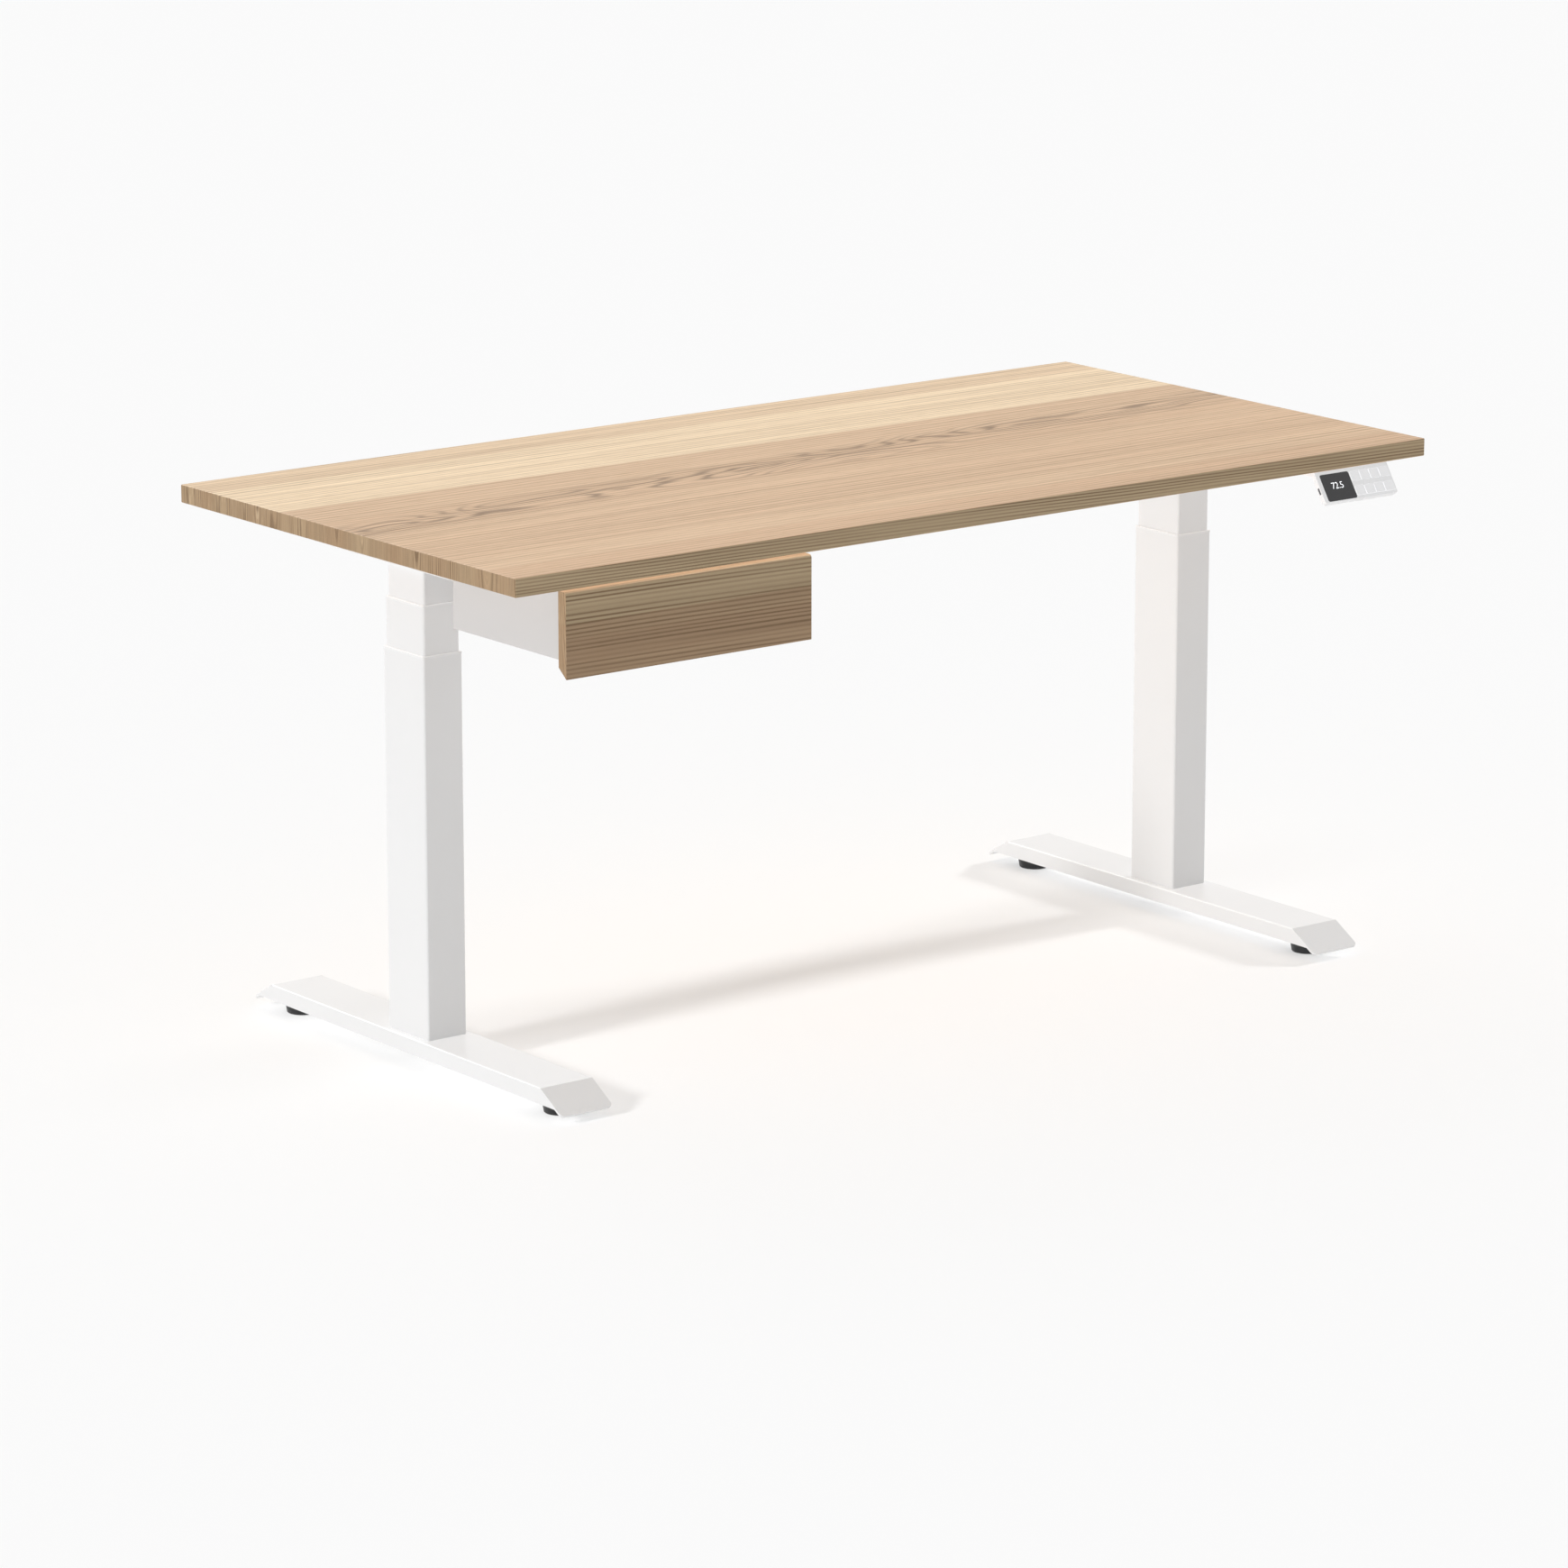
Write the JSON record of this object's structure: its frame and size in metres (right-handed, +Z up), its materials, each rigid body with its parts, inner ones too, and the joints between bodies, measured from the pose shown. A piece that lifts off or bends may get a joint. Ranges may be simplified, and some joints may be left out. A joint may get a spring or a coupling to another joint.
{
  "type": "height adjustable standing desk",
  "caption": "Electric sit-stand desk: solid timber top on telescopic steel columns with low sloped feet, a drawer hung under the front and a tilted key handset with a display.",
  "frame": {"origin": "on the floor, under the middle of the desk's outline, which includes the handset that stands out at the front", "axes": "+X to the right along the desk's width, seen from the front; -Y towards the user; +Z up"},
  "size_m": [1.5, 0.7742, 0.712],
  "materials": {
    "top_wood": "satin lacquered oak",
    "front_wood": "satin lacquered oak",
    "foot_paint": "smooth white powder coat",
    "tube_paint": "white powder coat",
    "frame_paint": "white powder coat",
    "case_paint": "warm white powder coat",
    "tray_paint": "warm white powder coat",
    "collar_plastic": "white moulded",
    "nut_plastic": "natural acetal",
    "glide_black": "black moulded",
    "buffer_rubber": "matt",
    "bolt_steel": "black oxide",
    "screw_zinc": "zinc plated",
    "lead_screw_steel": "greased steel",
    "pillar_steel": "plain steel",
    "runner_zinc": "zinc plated",
    "wheel_bronze": "cut bronze",
    "gear_cast": "die cast",
    "motor_paint": "black enamel",
    "box_plastic": "white moulded",
    "socket_plastic": "black moulded",
    "board_green": "solder mask",
    "handset_plastic": "white moulded",
    "key_plastic": "light grey keys",
    "lens_dark": "smoked window",
    "usb_metal": "plated socket"
  },
  "bodies": {
    "base": {"foot_left": "foot_paint", "foot_right": "foot_paint", "foot_bolts": "bolt_steel", "outer_tube_left": "tube_paint", "outer_tube_right": "tube_paint", "outer_collars": "collar_plastic", "nut_pillars": "pillar_steel", "lower_nuts": "nut_plastic"},
    "middle_left": {"middle_tube_left": "tube_paint", "middle_collar_left": "collar_plastic", "upper_nut_left": "nut_plastic"},
    "hollow_screw_left": {"hollow_screw_left": "lead_screw_steel"},
    "drive_screw_left": {"drive_screw_left": "lead_screw_steel", "worm_wheel_left": "wheel_bronze"},
    "glide_front_left": {"glide_front_left": "glide_black"},
    "glide_back_left": {"glide_back_left": "glide_black"},
    "middle_right": {"middle_tube_right": "tube_paint", "middle_collar_right": "collar_plastic", "upper_nut_right": "nut_plastic"},
    "hollow_screw_right": {"hollow_screw_right": "lead_screw_steel"},
    "drive_screw_right": {"drive_screw_right": "lead_screw_steel", "worm_wheel_right": "wheel_bronze"},
    "glide_front_right": {"glide_front_right": "glide_black"},
    "glide_back_right": {"glide_back_right": "glide_black"},
    "top": {"desktop": "top_wood", "inner_tube_left": "tube_paint", "inner_tube_right": "tube_paint", "gear_housings": "gear_cast", "motors": "motor_paint", "side_bracket_left": "frame_paint", "side_bracket_right": "frame_paint", "crossbar_rails": "frame_paint", "crossbar_ends": "frame_paint", "frame_screws": "bolt_steel", "desktop_screws": "screw_zinc", "rubber_buffers": "buffer_rubber", "control_box_case": "box_plastic", "control_box_lid": "box_plastic", "control_box_board": "board_green", "control_box_sockets": "socket_plastic", "handset_shell": "handset_plastic", "handset_back": "handset_plastic", "handset_lens": "lens_dark", "handset_board": "board_green", "usb_port": "usb_metal", "drawer_case": "case_paint", "drawer_runners_fixed": "runner_zinc"},
    "drawer": {"drawer_front": "front_wood", "drawer_tray": "tray_paint", "drawer_runners_inner": "runner_zinc", "drawer_screws": "screw_zinc"},
    "drawer_runners": {"drawer_runners_middle": "runner_zinc"},
    "key_top_1": {"key_top_1": "key_plastic"},
    "key_top_2": {"key_top_2": "key_plastic"},
    "key_top_3": {"key_top_3": "key_plastic"},
    "key_top_4": {"key_top_4": "key_plastic"},
    "key_bottom_1": {"key_bottom_1": "key_plastic"},
    "key_bottom_2": {"key_bottom_2": "key_plastic"},
    "key_bottom_3": {"key_bottom_3": "key_plastic"},
    "key_bottom_4": {"key_bottom_4": "key_plastic"}
  },
  "joints": [
    {"name": "lift", "type": "slide", "parent": "base", "child": "top", "axis": [0, 0, 1], "range_m": [-0.09, 0.56]},
    {"name": "middle_left_slide", "type": "slide", "parent": "base", "child": "middle_left", "axis": [0, 0, 1], "range_m": [-0.045, 0.28]},
    {"name": "hollow_screw_left_turn", "type": "hinge", "parent": "middle_left", "child": "hollow_screw_left", "pos_m": [-0.63, 0.01212, 0.4], "axis": [0, 0, 1], "continuous": true},
    {"name": "drive_screw_left_turn", "type": "hinge", "parent": "top", "child": "drive_screw_left", "pos_m": [-0.63, 0.01212, 0.4], "axis": [0, 0, 1], "continuous": true},
    {"name": "glide_front_left_level", "type": "slide", "parent": "base", "child": "glide_front_left", "axis": [0, 0, -1], "range_m": [0, 0.008]},
    {"name": "glide_back_left_level", "type": "slide", "parent": "base", "child": "glide_back_left", "axis": [0, 0, -1], "range_m": [0, 0.008]},
    {"name": "middle_right_slide", "type": "slide", "parent": "base", "child": "middle_right", "axis": [0, 0, 1], "range_m": [-0.045, 0.28]},
    {"name": "hollow_screw_right_turn", "type": "hinge", "parent": "middle_right", "child": "hollow_screw_right", "pos_m": [0.63, 0.01212, 0.4], "axis": [0, 0, 1], "continuous": true},
    {"name": "drive_screw_right_turn", "type": "hinge", "parent": "top", "child": "drive_screw_right", "pos_m": [0.63, 0.01212, 0.4], "axis": [0, 0, 1], "continuous": true},
    {"name": "glide_front_right_level", "type": "slide", "parent": "base", "child": "glide_front_right", "axis": [0, 0, -1], "range_m": [0, 0.008]},
    {"name": "glide_back_right_level", "type": "slide", "parent": "base", "child": "glide_back_right", "axis": [0, 0, -1], "range_m": [0, 0.008]},
    {"name": "drawer_slide", "type": "slide", "parent": "top", "child": "drawer", "axis": [0, -1, 0], "range_m": [0, 0.2]},
    {"name": "drawer_runner_slide", "type": "slide", "parent": "top", "child": "drawer_runners", "axis": [0, -1, 0], "range_m": [0, 0.1]},
    {"name": "key_top_1_press", "type": "slide", "parent": "top", "child": "key_top_1", "axis": [0, 0.8387, -0.5446], "range_m": [0, 0.0006], "stiffness_N_per_m": 1500},
    {"name": "key_top_2_press", "type": "slide", "parent": "top", "child": "key_top_2", "axis": [0, 0.8387, -0.5446], "range_m": [0, 0.0006], "stiffness_N_per_m": 1500},
    {"name": "key_top_3_press", "type": "slide", "parent": "top", "child": "key_top_3", "axis": [0, 0.8387, -0.5446], "range_m": [0, 0.0006], "stiffness_N_per_m": 1500},
    {"name": "key_top_4_press", "type": "slide", "parent": "top", "child": "key_top_4", "axis": [0, 0.8387, -0.5446], "range_m": [0, 0.0006], "stiffness_N_per_m": 1500},
    {"name": "key_bottom_1_press", "type": "slide", "parent": "top", "child": "key_bottom_1", "axis": [0, 0.8387, -0.5446], "range_m": [0, 0.0006], "stiffness_N_per_m": 1500},
    {"name": "key_bottom_2_press", "type": "slide", "parent": "top", "child": "key_bottom_2", "axis": [0, 0.8387, -0.5446], "range_m": [0, 0.0006], "stiffness_N_per_m": 1500},
    {"name": "key_bottom_3_press", "type": "slide", "parent": "top", "child": "key_bottom_3", "axis": [0, 0.8387, -0.5446], "range_m": [0, 0.0006], "stiffness_N_per_m": 1500},
    {"name": "key_bottom_4_press", "type": "slide", "parent": "top", "child": "key_bottom_4", "axis": [0, 0.8387, -0.5446], "range_m": [0, 0.0006], "stiffness_N_per_m": 1500}
  ],
  "couplings": [
    {"joint": "middle_left_slide", "follows": "lift", "ratio": 0.5},
    {"joint": "hollow_screw_left_turn", "follows": "lift", "rad_per_m": 523.6},
    {"joint": "drive_screw_left_turn", "follows": "lift", "rad_per_m": 523.6},
    {"joint": "middle_right_slide", "follows": "lift", "ratio": 0.5},
    {"joint": "hollow_screw_right_turn", "follows": "lift", "rad_per_m": 523.6},
    {"joint": "drive_screw_right_turn", "follows": "lift", "rad_per_m": 523.6},
    {"joint": "drawer_runner_slide", "follows": "drawer_slide", "ratio": 0.5}
  ]
}
